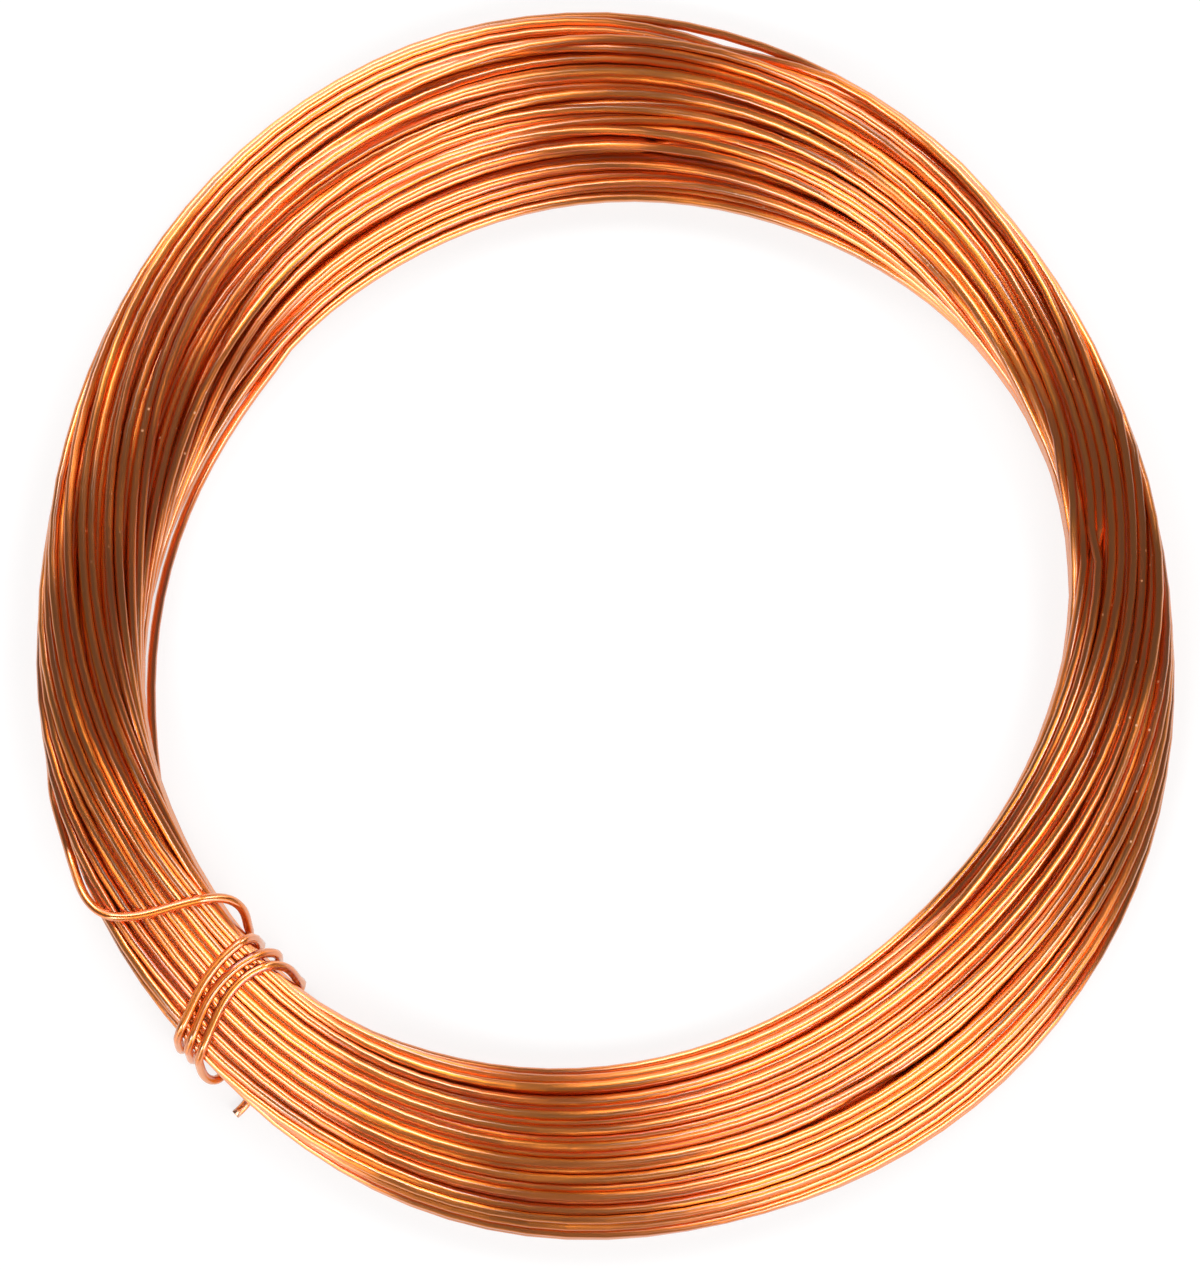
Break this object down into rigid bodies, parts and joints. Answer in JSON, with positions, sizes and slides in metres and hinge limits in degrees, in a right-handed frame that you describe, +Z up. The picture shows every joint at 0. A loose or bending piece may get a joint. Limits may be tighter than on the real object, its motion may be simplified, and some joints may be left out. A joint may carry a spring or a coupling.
{
  "type": "copper wire coil",
  "caption": "Ring-shaped hank of soft copper wire, its layers of turns slid to one side and tied with the wire's own end.",
  "frame": {"origin": "middle of the coil's outline, on the surface it lies on", "axes": "+Z up through the eye of the coil; the layers lean towards +Y and a little towards -X; the tie is at -X -Y"},
  "size_m": [0.1224, 0.1292, 0.0092],
  "materials": {
    "copper": "bright drawn copper, semi-gloss"
  },
  "bodies": {
    "root": {"wire_coil": "copper"}
  },
  "joints": []
}
